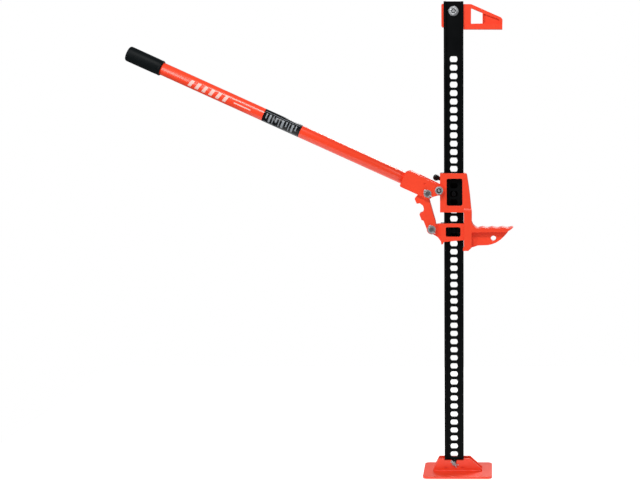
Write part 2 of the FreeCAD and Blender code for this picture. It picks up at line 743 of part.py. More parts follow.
os.makedirs("parts", exist_ok=True)
pieces = [item for item in doc.Objects if item.TypeId in ("PartDesign::Body", "Part::Feature")]
for piece in pieces:
    if piece.Shape.isNull() or not piece.Shape.isValid():
        raise RuntimeError("%s has no valid shape" % piece.Label)
    piece.Shape.exportStep("parts/%s.step" % piece.Label)
print(len(pieces), "pieces written")
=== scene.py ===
# %% [markdown]
# # A farm jack, dressed for its picture
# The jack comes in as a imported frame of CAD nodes: a perforated bar, two runners that climb it, a link,
# a handle in a socket, a top clamp and a base. The frame already has every size and joint. What is left
# for Blender is what the eye reads as real: rounded cast edges, bent wire, rubber, zinc and enamel.

import bmesh
import bpy
import json
import math
from mathutils import Matrix, Vector


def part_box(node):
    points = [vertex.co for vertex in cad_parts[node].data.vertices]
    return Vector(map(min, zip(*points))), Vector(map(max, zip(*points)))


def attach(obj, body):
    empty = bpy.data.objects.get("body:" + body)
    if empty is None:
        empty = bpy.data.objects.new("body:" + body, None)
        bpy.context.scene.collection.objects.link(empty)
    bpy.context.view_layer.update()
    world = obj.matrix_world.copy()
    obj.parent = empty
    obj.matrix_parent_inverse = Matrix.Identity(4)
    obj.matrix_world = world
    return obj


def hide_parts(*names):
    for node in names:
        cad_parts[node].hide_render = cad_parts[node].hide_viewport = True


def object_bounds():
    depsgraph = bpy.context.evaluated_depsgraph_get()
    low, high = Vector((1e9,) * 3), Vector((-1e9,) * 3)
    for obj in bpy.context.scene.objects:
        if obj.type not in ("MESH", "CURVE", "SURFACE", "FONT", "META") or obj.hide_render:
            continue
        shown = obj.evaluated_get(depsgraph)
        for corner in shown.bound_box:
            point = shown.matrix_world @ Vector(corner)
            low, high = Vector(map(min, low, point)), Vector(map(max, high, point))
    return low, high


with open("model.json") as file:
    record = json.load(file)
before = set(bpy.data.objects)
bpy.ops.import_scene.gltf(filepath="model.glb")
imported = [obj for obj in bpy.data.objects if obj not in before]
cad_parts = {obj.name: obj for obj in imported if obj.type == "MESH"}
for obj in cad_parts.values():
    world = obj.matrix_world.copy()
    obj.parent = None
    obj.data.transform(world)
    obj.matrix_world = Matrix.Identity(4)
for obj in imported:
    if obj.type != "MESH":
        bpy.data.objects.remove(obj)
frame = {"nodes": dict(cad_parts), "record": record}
cad_low, cad_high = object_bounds()
MM = 0.001
print("CAD box in millimetres:", [round(value / MM) for value in (*cad_low, *cad_high)])

# %% [markdown]
# Every piece has to move with the body that it is bolted to. The record already says which node belongs
# to which body, so one dictionary is read from it and used for everything that follows.

# %% Which body each node belongs to
record = frame["record"]
body_of_node = {}
for body_name, node_names in record["behaviour"]["bodies"].items():
    for node_name in node_names:
        body_of_node[node_name] = body_name
slot_of_node = {entry["node"]: entry["material_slot"] for entry in record["subparts"]}


def centre_of(node):
    low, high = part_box(node)
    return (low + high) / 2


# %% [markdown]
# ## Finishes
# A finish is a small network of nodes. One function adds a node, gives it its settings and links its
# inputs, so each material below reads as a list of what it is made of. Colours are written as the hex
# values a painter would pick from a chart, and one function turns them to the linear values that the
# renderer works in.

# %% Helpers for finishes
def colour(hex_code):
    channels = [int(hex_code[place:place + 2], 16) / 255 for place in (0, 2, 4)]
    linear = [c / 12.92 if c <= 0.04045 else ((c + 0.055) / 1.055) ** 2.4 for c in channels]
    return (*linear, 1.0)


def add_node(tree, kind, settings=None, **inputs):
    """Adds a node. Settings are its own properties; inputs are values or sockets to link from."""
    node = tree.nodes.new(kind)
    for name, value in (settings or {}).items():
        setattr(node, name, value)
    for name, value in inputs.items():
        socket = node.inputs[name.replace("_", " ")]
        if isinstance(value, bpy.types.NodeSocket):
            tree.links.new(value, socket)
        else:
            socket.default_value = value
    return node


def new_finish(name):
    finish = bpy.data.materials.new(name)
    finish.use_nodes = True
    tree = finish.node_tree
    tree.nodes.clear()
    place = add_node(tree, "ShaderNodeTexCoord").outputs["Object"]
    return finish, tree, place


def close_finish(tree, surface):
    output = tree.nodes.new("ShaderNodeOutputMaterial")
    tree.links.new(surface.outputs["BSDF"], output.inputs["Surface"])


def grain(tree, place, size_mm, detail=3.0, roughness=0.5):
    """Cloudy noise whose blotches are about size_mm across."""
    return add_node(tree, "ShaderNodeTexNoise", Vector=place, Scale=1 / (size_mm * MM),
                    Detail=detail, Roughness=roughness)


def spread(tree, value, low, high):
    """Stretches a 0 to 1 value to the range low to high."""
    return add_node(tree, "ShaderNodeMapRange", Value=value, To_Min=low, To_Max=high).outputs["Result"]


MIX_COLOUR_A = 6
MIX_COLOUR_B = 7
MIX_COLOUR_RESULT = 2


def blend_colours(tree, factor, first, second):
    """Goes from the first hex colour to the second as the factor goes from 0 to 1.

    A Mix node has a socket of the same name for each data type, so its colours go by number."""
    mix = add_node(tree, "ShaderNodeMix", {"data_type": "RGBA"})
    tree.links.new(factor, mix.inputs["Factor"])
    mix.inputs[MIX_COLOUR_A].default_value = colour(first)
    mix.inputs[MIX_COLOUR_B].default_value = colour(second)
    return mix.outputs[MIX_COLOUR_RESULT]


# %% [markdown]
# The castings and the tube wear orange-red enamel. On rough cast iron, sprayed enamel follows the sand
# grain underneath and pulls into a fine orange peel on top, so two bump patterns are stacked: one at
# 2.5 mm for the casting skin and one at 0.6 mm for the paint. Smooth steel keeps only the second. A slow
# colour drift of a few percent keeps large faces from looking like plastic.

# %% Enamel
GLOSS_DRIFT = 0.12


def enamel(name, light, dark, cast_depth, peel_depth, gloss):
    finish, tree, place = new_finish(name)
    drift = grain(tree, place, 45.0)
    skin = grain(tree, place, 2.5, detail=4.0)
    peel = grain(tree, place, 0.6, detail=1.0)
    skin_bump = add_node(tree, "ShaderNodeBump", Height=skin.outputs["Fac"], Strength=0.5,
                         Distance=cast_depth * MM)
    peel_bump = add_node(tree, "ShaderNodeBump", Height=peel.outputs["Fac"], Strength=0.25,
                         Distance=peel_depth * MM, Normal=skin_bump.outputs["Normal"])
    surface = add_node(tree, "ShaderNodeBsdfPrincipled",
                       Base_Color=blend_colours(tree, drift.outputs["Fac"], light, dark),
                       Roughness=spread(tree, drift.outputs["Fac"], gloss, gloss + GLOSS_DRIFT),
                       Coat_Weight=0.2, Coat_Roughness=0.22, IOR=1.5,
                       Normal=peel_bump.outputs["Normal"])
    close_finish(tree, surface)
    return finish


cast_enamel = enamel("red_enamel_on_cast_iron", "F94726", "EF3C1C", 0.25, 0.03, 0.34)
tube_enamel = enamel("red_enamel_on_steel_tube", "F94726", "F23F1E", 0.0, 0.002, 0.24)

# %% [markdown]
# The bar is rolled steel under a thick satin black. Rolling leaves faint lengthwise lines, so its noise is
# squeezed across and stretched along Z with a Mapping node before it becomes bump.

# %% Black paint on rolled steel
def rolled_black(name):
    finish, tree, place = new_finish(name)
    stretched = add_node(tree, "ShaderNodeMapping", Vector=place, Scale=(1.0, 1.0, 0.05))
    lines = grain(tree, stretched.outputs["Vector"], 1.2)
    drift = grain(tree, place, 30.0)
    bump = add_node(tree, "ShaderNodeBump", Height=lines.outputs["Fac"], Strength=0.3,
                    Distance=0.08 * MM)
    surface = add_node(tree, "ShaderNodeBsdfPrincipled",
                       Base_Color=blend_colours(tree, drift.outputs["Fac"], "030405", "07090A"),
                       Roughness=spread(tree, drift.outputs["Fac"], 0.38, 0.52),
                       IOR=1.5, Specular_IOR_Level=0.08, Normal=bump.outputs["Normal"])
    close_finish(tree, surface)
    return finish


bar_black = rolled_black("satin_black_on_rolled_steel")

# %% [markdown]
# Fasteners are steel under bright zinc. Zinc plate is a metal, so it is fully metallic with the default
# IOR, and its colour is a cool grey. Barrel plating knocks the parts together, which leaves a mottled
# roughness. Pins are bare turned steel, which is darker, and springs are darker again.

# %% Plated and bare steel
def plated(name, light, dark, rough_low, rough_high, mottle_mm):
    finish, tree, place = new_finish(name)
    mottle = grain(tree, place, mottle_mm, detail=5.0)
    bump = add_node(tree, "ShaderNodeBump", Height=mottle.outputs["Fac"], Strength=0.25,
                    Distance=0.05 * MM)
    surface = add_node(tree, "ShaderNodeBsdfPrincipled", Metallic=1.0,
                       Base_Color=blend_colours(tree, mottle.outputs["Fac"], light, dark),
                       Roughness=spread(tree, mottle.outputs["Fac"], rough_low, rough_high),
                       Normal=bump.outputs["Normal"])
    close_finish(tree, surface)
    return finish


bright_zinc = plated("bright_zinc_plate", "E2E4E6", "B4B8BC", 0.3, 0.56, 1.6)
turned_steel = plated("turned_steel", "A6A7A8", "7B7C7E", 0.26, 0.48, 0.8)
drawn_wire = plated("drawn_spring_wire", "7E8083", "5C5E61", 0.3, 0.45, 0.7)
black_oxide = plated("oiled_black_oxide", "2A2B2D", "17181A", 0.3, 0.5, 1.2)
# Near-black iron, used as painted shade inside the runners' bar passage.
passage_painted_shade = plated("painted_shade_dark_iron", "1D1B1A", "0F0E0D", 0.45, 0.7, 4.0)

# %% [markdown]
# The grip is moulded rubber and the latch knob moulded phenolic. Both are dielectric blacks: rubber
# scatters more and has a dusty, uneven roughness, and phenolic keeps the polish of its mould.

# %% Rubber and phenolic
def moulded(name, light, dark, rough_low, rough_high, grain_mm, depth_mm, shine=0.5):
    finish, tree, place = new_finish(name)
    texture = grain(tree, place, grain_mm, detail=4.0)
    cloud = grain(tree, place, 12.0)
    bump = add_node(tree, "ShaderNodeBump", Height=texture.outputs["Fac"], Strength=0.35,
                    Distance=depth_mm * MM)
    surface = add_node(tree, "ShaderNodeBsdfPrincipled",
                       Base_Color=blend_colours(tree, cloud.outputs["Fac"], light, dark),
                       Roughness=spread(tree, cloud.outputs["Fac"], rough_low, rough_high),
                       IOR=1.52, Specular_IOR_Level=shine, Normal=bump.outputs["Normal"])
    close_finish(tree, surface)
    return finish


grip_rubber = moulded("moulded_rubber", "04080A", "080E10", 0.46, 0.6, 0.9, 0.1, shine=0.1)
knob_phenolic = moulded("moulded_phenolic", "040505", "0A0B0C", 0.2, 0.32, 1.5, 0.03, shine=0.3)
label_black = moulded("printed_film_black", "06080B", "0C0F12", 0.24, 0.34, 2.0, 0.01, shine=0.3)
label_ink = moulded("printed_film_grey", "8F9499", "7D8287", 0.3, 0.42, 2.0, 0.01, shine=0.3)
mark_ink = moulded("printed_mark_pale", "F3CBC2", "EBBDB2", 0.3, 0.42, 2.0, 0.01, shine=0.3)

finish_of_slot = {
    "red_paint": cast_enamel,
    "tube_paint": tube_enamel,
    "black_paint": bar_black,
    "zinc": bright_zinc,
    "bright_steel": turned_steel,
    "spring_steel": drawn_wire,
    "black_oxide": black_oxide,
    "grip_rubber": grip_rubber,
    "knob_plastic": knob_phenolic,
}
for node_name, cad_object in frame["nodes"].items():
    cad_object.data.materials.clear()
    cad_object.data.materials.append(finish_of_slot[slot_of_node[node_name]])
print(len(finish_of_slot), "finishes laid on", len(frame["nodes"]), "nodes")

# %% [markdown]
# ## Cast and forged pieces
# A CAD solid has knife edges, and no casting does. The light that runs along a rounded edge is most of
# what makes iron look heavy. Each of these nodes is copied, its loose triangles are merged and its flat
# areas dissolved, and a Bevel modifier rounds what is left. Drawing each casting again by hand would give
# the same shape with more risk, so the copy is the better way. The weighted normals keep wide faces flat.

# %% Softened copies
SHARP_ANGLE = math.radians(32)
FLAT_ANGLE = math.radians(1.0)
MERGE_GAP = 0.005 * MM


def shade(shape, smooth):
    for face in shape.faces:
        face.smooth = smooth


def finished_piece(name, shape, *materials):
    """Turns a bmesh into an object with its finishes and puts it in the scene."""
    mesh = bpy.data.meshes.new(name)
    shape.to_mesh(mesh)
    shape.free()
    for material in materials:
        mesh.materials.append(material)
    piece = bpy.data.objects.new(name, mesh)
    bpy.context.scene.collection.objects.link(piece)
    return piece


def stands_for(piece, node):
    """The piece takes the node's place: it joins the node's body and the node is hidden."""
    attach(piece, body_of_node[node])
    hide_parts(node)
    return piece


def round_off(piece, edge_mm, segments=3):
    """Rounds every edge sharper than SHARP_ANGLE and keeps the wide faces flat."""
    bevel = piece.modifiers.new("rounding", "BEVEL")
    bevel.width = edge_mm * MM
    bevel.segments = segments
    bevel.limit_method = "ANGLE"
    bevel.angle_limit = SHARP_ANGLE
    bevel.use_clamp_overlap = True
    weighted = piece.modifiers.new("flat_faces", "WEIGHTED_NORMAL")
    weighted.keep_sharp = True


def merged_copy(node):
    """A bmesh copy of a CAD node with its loose triangles joined and its flat areas dissolved."""
    shape = bmesh.new()
    shape.from_mesh(frame["nodes"][node].data)
    bmesh.ops.remove_doubles(shape, verts=shape.verts, dist=MERGE_GAP)
    bmesh.ops.dissolve_limit(shape, angle_limit=FLAT_ANGLE, verts=shape.verts, edges=shape.edges)
    shade(shape, True)
    return shape


def softened(node, edge_mm, inside=None):
    """A rounded copy. Faces for which inside(face) is true take a near-black finish, which is painted
    shade.
    """
    shape = merged_copy(node)
    finishes = [finish_of_slot[slot_of_node[node]]]
    if inside:
        finishes.append(passage_painted_shade)
        for face in shape.faces:
            face.material_index = int(inside(face))
    piece = finished_piece(node + "_soft", shape, *finishes)
    round_off(piece, edge_mm)
    return stands_for(piece, node)


# %% [markdown]
# The runners are painted after casting, and the faces of their bar passage take a near-black finish:
# painted shade for the dark inside of the casting. The faces of the passage are found by where they lie:
# just outside the bar's own box.

# %% The painted castings and plates
bar_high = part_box("standard_bar")[1]
PASSAGE_GAP = 0.6 * MM


def in_bar_passage(face):
    middle_point = face.calc_center_median()
    beside_bar = abs(middle_point.x) < bar_high.x + PASSAGE_GAP
    return beside_bar and abs(middle_point.y) < bar_high.y + PASSAGE_GAP


ROUNDING_MM = {
    "large_runner": 1.5,
    "lifting_nose": 1.5,
    "small_runner": 1.4,
    "pitman_link": 1.6,
    "handle_socket": 1.4,
    "top_clamp": 1.4,
    "base_plate": 1.0,
    "base_cheek_front": 0.9,
    "base_cheek_back": 0.9,
    "reversing_latch": 0.8,
    "standard_bar": 0.7,
}
# The bar passage of these castings gets the near-black painted shade.
SHADE_PAINTED_INSIDE = ("large_runner", "small_runner")
for node_name, width in ROUNDING_MM.items():
    soft = softened(node_name, width, in_bar_passage if node_name in SHADE_PAINTED_INSIDE else None)
    print(node_name, "has", len(soft.data.polygons), "faces before rounding")

# %% [markdown]
# Small turned parts get the same treatment with a much finer edge. A washer is stamped, so its edge is
# barely broken, while a pin's end has a lead-in.

# %% The small turned and stamped parts
FINE_ROUNDING_MM = {
    "base_pin": 0.8,
    "upper_pitman_pin": 0.8,
    "lower_pitman_pin": 0.8,
    "upper_climbing_pin": 0.3,
    "lower_climbing_pin": 0.3,
    "top_clamp_washer": 0.3,
    "shear_bolt_washers": 0.25,
    "upper_pitman_washer": 0.3,
    "lower_pitman_washer": 0.3,
    "latch_spacer": 0.3,
    "latch_screw": 0.6,
    "upper_pin_cap": 0.5,
    "lower_pin_cap": 0.5,
}
for node_name, width in FINE_ROUNDING_MM.items():
    softened(node_name, width)
print(len(FINE_ROUNDING_MM), "small parts rounded")

# %% [markdown]
# ## Bolt heads and nuts
# A real hexagon head is turned before it is sold: a cone cuts its corners, and the arc that this leaves on
# each flat is what makes it read as a bolt. A Boolean with a turned drum does the same cut. The drum is a
# profile of eight points spun about the bolt's axis, with a chamfer at each end of the hexagon.

# %% Spinning a profile
SEAM_GAP = 0.002 * MM


def spun(points, centre, axis, steps):
    """Spins a line of points once round an axis and closes the seam."""
    shape = bmesh.new()
    corners = [shape.verts.new(point) for point in points]
    edges = [shape.edges.new(pair) for pair in zip(corners, corners[1:])]
    bmesh.ops.spin(shape, geom=corners + edges, cent=centre, axis=axis, angle=math.tau,
                   steps=steps, use_merge=True, use_duplicate=False)
    bmesh.ops.remove_doubles(shape, verts=shape.verts, dist=SEAM_GAP)
    bmesh.ops.recalc_face_normals(shape, faces=shape.faces)
    shade(shape, True)
    return shape


def turned(profile, centre, steps=48):
    """Spins (y, radius) points about the line through centre that runs along Y."""
    points = [(centre.x + radius, y, centre.z) for y, radius in profile]
    return spun(points, centre, (0, 1, 0), steps)


def turned_along_x(profile, steps=48):
    """Spins (x, radius) points about the X axis."""
    points = [(x, 0, radius) for x, radius in profile]
    return spun(points, (0, 0, 0), (1, 0, 0), steps)


CHAMFER_DROP = 1.3 * MM
RIM_SHARE = 1.02
NECK_SHARE = 0.84
DISH_RIM = 2.0 * MM
DISH_WALL = 0.7 * MM
DISH_DEPTH = 1.3 * MM
RING_WIDTH = 1.6 * MM
PIP_WALL = 0.5 * MM
PIP_HEIGHT = 0.7 * DISH_DEPTH


def dish_front(shape):
    """Sinks a ring into a bolt head and leaves a raised pip, as cold heading does.

    The ring takes the head's second, dark finish, which paints shade into it."""
    front_face = min(shape.faces, key=lambda face: (round(face.normal.y, 2), -face.calc_area()))
    bmesh.ops.inset_region(shape, faces=[front_face], thickness=DISH_RIM, depth=0)
    wall = bmesh.ops.inset_region(shape, faces=[front_face], thickness=DISH_WALL, depth=-DISH_DEPTH)
    ring = bmesh.ops.inset_region(shape, faces=[front_face], thickness=RING_WIDTH, depth=0)
    # The sunken wall and ring are painted dark as shade.
    for face in wall["faces"] + ring["faces"]:
        face.material_index = 1
    bmesh.ops.inset_region(shape, faces=[front_face], thickness=PIP_WALL, depth=PIP_HEIGHT)


def chamfered_hexagon(node, front, back, corner_radius, dished=False):
    """Cuts the corners of the hexagon that lies between y = front and y = back on a CAD fastener."""
    # The second finish, dark oxide, is painted shade in the ring of a dished head.
    piece = finished_piece(node + "_soft", merged_copy(node), finish_of_slot[slot_of_node[node]],
                           black_oxide)
    centre = centre_of(node)
    low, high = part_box(node)
    rim = corner_radius * RIM_SHARE
    neck = corner_radius * NECK_SHARE
    profile = [(low.y - MM, 0.0), (low.y - MM, neck), (front, neck), (front + CHAMFER_DROP, rim),
               (back - CHAMFER_DROP, rim), (back, neck), (high.y + MM, neck), (high.y + MM, 0.0)]
    drum = finished_piece(node + "_drum", turned(profile, centre), bright_zinc)
    cut = piece.modifiers.new("turned_corners", "BOOLEAN")
    cut.operation = "INTERSECT"
    cut.solver = "EXACT"
    cut.object = drum
    bpy.context.view_layer.update()
    done = bpy.data.meshes.new_from_object(piece.evaluated_get(bpy.context.evaluated_depsgraph_get()))
    piece.modifiers.clear()
    if dished:
        head = bmesh.new()
        head.from_mesh(done)
        bmesh.ops.dissolve_limit(head, angle_limit=FLAT_ANGLE, verts=head.verts, edges=head.edges)
        dish_front(head)
        head.to_mesh(done)
        head.free()
    piece.data = done
    bpy.data.objects.remove(drum)
    round_off(piece, 0.25, segments=2)
    return stands_for(piece, node)


HEAD_HEIGHT = 6.4 * MM
SMALL_HEAD_HEIGHT = 4.95 * MM
NUT_CORNER = 9.8 * MM
SCREW_CORNER = 7.5 * MM
for node_name in ("top_clamp_bolt", "shear_bolt"):
    head_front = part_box(node_name)[0].y
    chamfered_hexagon(node_name, head_front, head_front + HEAD_HEIGHT, NUT_CORNER, dished=True)
for node_name in ("top_clamp_nut", "shear_bolt_nut"):
    nut_low, nut_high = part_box(node_name)
    chamfered_hexagon(node_name, nut_low.y, nut_high.y, NUT_CORNER)
screw_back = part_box("handle_set_screw")[1].y
chamfered_hexagon("handle_set_screw", screw_back - SMALL_HEAD_HEIGHT, screw_back, SCREW_CORNER)
print("five hexagons chamfered")

# %% [markdown]
# ## Split pins
# A split pin is one length of half-round wire folded back on itself, with an eye at the fold and two legs
# that are spread after it goes through the hole. A poly curve would give sharp kinks, so each pin is a
# smooth NURBS curve with a round bevel, made into a mesh at the end.

# %% Bent wire
def bent_wire(name, points, wire_mm, finish, closed=False):
    curve = bpy.data.curves.new(name, "CURVE")
    curve.dimensions = "3D"
    curve.bevel_depth = wire_mm * MM
    curve.bevel_resolution = 4
    curve.use_fill_caps = True
    spline = curve.splines.new("NURBS")
    spline.points.add(len(points) - 1)
    for control, point in zip(spline.points, points):
        control.co = (*point, 1.0)
    spline.order_u = 3
    spline.use_endpoint_u = not closed
    spline.use_cyclic_u = closed
    spline.resolution_u = 8
    holder = bpy.data.objects.new(name, curve)
    mesh = bpy.data.meshes.new_from_object(holder)
    bpy.data.objects.remove(holder)
    mesh.materials.append(finish)
    for polygon in mesh.polygons:
        polygon.use_smooth = True
    piece = bpy.data.objects.new(name, mesh)
    bpy.context.scene.collection.objects.link(piece)
    return piece


def split_pin(node, pin_node, pin_radius, eye_radius, wire_mm, slope_degrees):
    """Lays a split pin through a clevis pin, with its eye on the upper left and its legs spread."""
    pin_centre = centre_of(pin_node)
    centre = Vector((pin_centre.x, centre_of(node).y, pin_centre.z))
    slope = math.radians(slope_degrees)
    ahead = Vector((math.cos(slope), 0, -math.sin(slope)))
    across = Vector((math.sin(slope), 0, math.cos(slope)))
    half = 0.75 * wire_mm * MM
    start = -(pin_radius + 0.6 * MM)
    leg_end = pin_radius + 6.5 * MM
    path = [(leg_end, 5.0 * MM), (pin_radius + 2.0 * MM, half * 1.6), (pin_radius, half), (start, half),
            (start - eye_radius * 0.5, eye_radius), (start - eye_radius * 1.6, eye_radius),
            (start - eye_radius * 2.1, 0), (start - eye_radius * 1.6, -eye_radius),
            (start - eye_radius * 0.5, -eye_radius), (start, -half), (pin_radius, -half),
            (pin_radius + 2.5 * MM, -half * 1.8), (leg_end * 0.95, -3.6 * MM)]
    points = [centre + ahead * along + across * side for along, side in path]
    piece = bent_wire(node + "_wire", points, wire_mm * 0.8, finish_of_slot[slot_of_node[node]])
    return stands_for(piece, node)


LINK_PIN_RADIUS = 6 * MM
BASE_PIN_RADIUS = 5 * MM
split_pin("upper_pitman_cotter", "upper_pitman_washer", LINK_PIN_RADIUS, 2.6 * MM, 1.8, 52)
split_pin("lower_pitman_cotter", "lower_pitman_washer", LINK_PIN_RADIUS, 2.6 * MM, 1.8, 66)
split_pin("base_pin_cotter", "base_pin", BASE_PIN_RADIUS, 2.2 * MM, 1.5, 40)
print("three split pins bent")

# %% [markdown]
# ## Springs
# The climbing pins are pushed home by short coil springs with closed ends. The coil is one NURBS curve
# whose turns bunch up at both ends, the way a wound spring's do. Each is drawn at its squeezed length,
# against the cap that holds it, so the pin's collar has room for its whole stroke.

# %% Coil springs
POINTS_PER_TURN = 12
END_BUNCHING = 0.4


def coil(node, turns, wire_mm, stroke_mm):
    """A spring whose front stays stroke_mm behind the front of its node's box."""
    low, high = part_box(node)
    centre = (low + high) / 2
    clearance = 1.2 * wire_mm * MM
    radius = (high.x - low.x) / 2 - clearance
    start = low.y + stroke_mm * MM + clearance
    length = high.y - clearance - start
    steps = turns * POINTS_PER_TURN
    points = []
    for step in range(steps + 1):
        share = step / steps
        angle = share * turns * math.tau
        eased = share - math.sin(math.tau * share) / math.tau * END_BUNCHING
        points.append((centre.x + radius * math.cos(angle), start + length * eased,
                       centre.z + radius * math.sin(angle)))
    print(node, "squeezed to", round(length / MM, 1), "mm")
    return stands_for(bent_wire(node + "_coil", points, wire_mm, drawn_wire), node)


COIL_TURNS = 4
COIL_WIRE_MM = 0.5
coil("upper_pin_spring", COIL_TURNS, COIL_WIRE_MM, 10.2)
coil("lower_pin_spring", COIL_TURNS, COIL_WIRE_MM, 4.2)

# %% [markdown]
# ## Knobs, grip and pull heads
# These are turned or moulded round, so each is a profile of a few points spun about its own axis; the knob
# and the grip get live subdivision to round them. The latch knob is a phenolic ball. The pull heads are
# knurled, which is a ring of small teeth: every other vertex of the rim is pulled in.

# %% Latch knob
def smooth_levels(piece, levels):
    rounder = piece.modifiers.new("roundness", "SUBSURF")
    rounder.levels = levels
    rounder.render_levels = levels


knob_low, knob_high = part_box("latch_knob")
knob_radius = (knob_high.x - knob_low.x) / 2
lever_low, lever_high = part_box("reversing_latch")
lever_front = lever_low.y
lever_back = lever_high.y
ball_points = [(lever_front - 1.4 * MM, 0.0), (lever_front - 1.4 * MM, knob_radius * 0.62),
               (lever_front + 0.5 * MM, knob_radius * 0.9), (lever_back + 1.5 * MM, knob_radius),
               (knob_high.y - 4.5 * MM, knob_radius), (knob_high.y - 0.8 * MM, knob_radius * 0.72),
               (knob_high.y, knob_radius * 0.3), (knob_high.y, 0.0)]
knob = finished_piece("latch_ball", turned(ball_points, centre_of("latch_knob"), steps=24), knob_phenolic)
smooth_levels(knob, 1)
stands_for(knob, "latch_knob")


# %% Pull heads with a knurled rim
ON_RIM_SHARE = 0.98


def knurled_head(node, teeth, depth_mm):
    """A pull head whose rim has small teeth all round."""
    low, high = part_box(node)
    centre = centre_of(node)
    radius = (high.x - low.x) / 2
    profile = [(low.y, 0.0), (low.y, radius * 0.8), (low.y + 1.2 * MM, radius),
               (high.y - 1.4 * MM, radius), (high.y, radius * 0.78), (high.y, radius * 0.4),
               (high.y - 0.6 * MM, radius * 0.34), (high.y - 0.6 * MM, 0.0)]
    shape = turned(profile, centre, steps=teeth * 2)
    for vert in shape.verts:
        out = Vector((vert.co.x - centre.x, 0, vert.co.z - centre.z))
        turn = math.atan2(out.z, out.x) / math.tau * teeth * 2
        if out.length > radius * ON_RIM_SHARE and round(turn) % 2:
            vert.co -= out.normalized() * depth_mm * MM
    shade(shape, False)
    return stands_for(finished_piece(node + "_knurled", shape, turned_steel), node)


knurled_head("upper_pin_head", 36, 0.5)
knurled_head("lower_pin_head", 32, 0.5)

# %% [markdown]
# The handle's own direction is needed for everything that sits on the tube. It is read from the frame: the
# line from the middle of the tube's box to the middle of the grip's box.

# %% The handle's axis
tube_low, tube_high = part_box("handle_tube")
grip_low, grip_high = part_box("handle_grip")
tube_centre = (tube_low + tube_high) / 2
grip_centre = (grip_low + grip_high) / 2
outward = (grip_centre - tube_centre).normalized()
upward = Vector((0, 1, 0)).cross(outward).normalized()
tube_radius = (tube_high.y - tube_low.y) / 2
grip_radius = (grip_high.y - grip_low.y) / 2
half_drop = abs(outward.z) * grip_radius
grip_length = ((grip_high.x - grip_low.x) - 2 * half_drop) / abs(outward.x)
grip_tip = grip_centre + outward * grip_length / 2
print("grip is", round(grip_length / MM), "mm long")

handle_turn = Matrix((-outward, Vector((0, 1, 0)), upward)).transposed().to_4x4()
handle_matrix = Matrix.Translation(grip_tip) @ handle_turn


def on_handle(shape):
    """Moves a shape drawn along +X from the grip's tip to its place on the handle."""
    bmesh.ops.transform(shape, matrix=handle_matrix, verts=shape.verts)
    return shape


# %% [markdown]
# The grip is a rubber sleeve with a closed, rounded end. Where it meets the tube it has a thin rolled lip,
# left by the mould, and a shallow groove behind it.

# %% Rubber grip
sleeve = [(0.0, 0.0), (0.0, 4 * MM), (0.0, grip_radius - 6 * MM), (0.6 * MM, grip_radius - 2 * MM),
          (3 * MM, grip_radius), (8 * MM, grip_radius), (grip_length - 8 * MM, grip_radius),
          (grip_length - 7 * MM, grip_radius - 0.7 * MM), (grip_length - 5.5 * MM, grip_radius - 0.7 * MM),
          (grip_length - 4.5 * MM, grip_radius), (grip_length - 1.2 * MM, grip_radius),
          (grip_length, grip_radius - 1.2 * MM), (grip_length, tube_radius + 0.3 * MM),
          (grip_length - 4 * MM, tube_radius + 0.1 * MM)]
grip = finished_piece("rubber_sleeve", on_handle(turned_along_x(sleeve)), grip_rubber)
smooth_levels(grip, 1)
stands_for(grip, "handle_grip")

# %% [markdown]
# ## Printed film on the tube
# A black film is wrapped round the tube and carries a plain pattern of bars between two thin rules.
# Farther out, six pale slanted bars and a short rule are printed on the enamel itself. Each bar is a
# patch of the tube's own cylinder, a tenth of a millimetre or two proud, so it follows the curve. The
# patches start as flat grids that are rolled.

# %% Rolled patches
FILM = 0.12 * MM


def rolled_patch(name, start_mm, end_mm, low_angle, high_angle, lift, finish, slant_mm=0.0):
    """A patch of film between two distances from the grip's tip and two angles round the tube.

    Angle 0 faces -Y and positive angles go up and over the tube."""
    shape = bmesh.new()
    bmesh.ops.create_grid(shape, x_segments=4, y_segments=24, size=0.5)
    radius = tube_radius + lift
    for vert in shape.verts:
        share = vert.co.y + 0.5
        angle = math.radians(low_angle + (high_angle - low_angle) * share)
        along_mm = start_mm + (end_mm - start_mm) * (vert.co.x + 0.5) + slant_mm * share
        vert.co = (along_mm * MM, -radius * math.cos(angle), radius * math.sin(angle))
    shade(shape, True)
    bmesh.ops.recalc_face_normals(shape, faces=shape.faces)
    on_handle(shape)
    middle_face = min(shape.faces, key=lambda face: face.calc_center_median().y)
    if middle_face.normal.y > 0:
        bmesh.ops.reverse_faces(shape, faces=shape.faces)
    piece = finished_piece(name, shape, finish)
    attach(piece, "handle")
    return piece


LABEL_START_MM = 378.0
LABEL_END_MM = 480.0
film_shape = turned_along_x([(LABEL_START_MM * MM, tube_radius), (LABEL_START_MM * MM, tube_radius + FILM),
                             (LABEL_END_MM * MM, tube_radius + FILM), (LABEL_END_MM * MM, tube_radius)])
film = finished_piece("label_film", on_handle(film_shape), label_black)
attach(film, "handle")

BAR_WIDTHS_MM = (3.0, 5.0, 2.0, 4.0, 2.0, 6.0, 3.0, 2.0, 5.0, 3.0)
BAR_GAP_MM = 5.4
LABEL_MARGIN_MM = 8.0
RULE_MARGIN_MM = 3.0
BAR_TOP_ANGLE = 30
LONG_BAR_ANGLE = -44
SHORT_BAR_ANGLE = -18
RULE_ANGLES = ((-58, -54), (42, 46))
place_mm = LABEL_START_MM + LABEL_MARGIN_MM
for number, bar_mm in enumerate(BAR_WIDTHS_MM):
    low_edge = LONG_BAR_ANGLE if number % 3 else SHORT_BAR_ANGLE
    rolled_patch("label_bar_%d" % number, place_mm, place_mm + bar_mm, low_edge, BAR_TOP_ANGLE,
                 2 * FILM, label_ink)
    place_mm += bar_mm + BAR_GAP_MM
for side, (low_angle, high_angle) in enumerate(RULE_ANGLES):
    rolled_patch("label_rule_%d" % side, LABEL_START_MM + RULE_MARGIN_MM, LABEL_END_MM - RULE_MARGIN_MM,
                 low_angle, high_angle, 2 * FILM, label_ink)

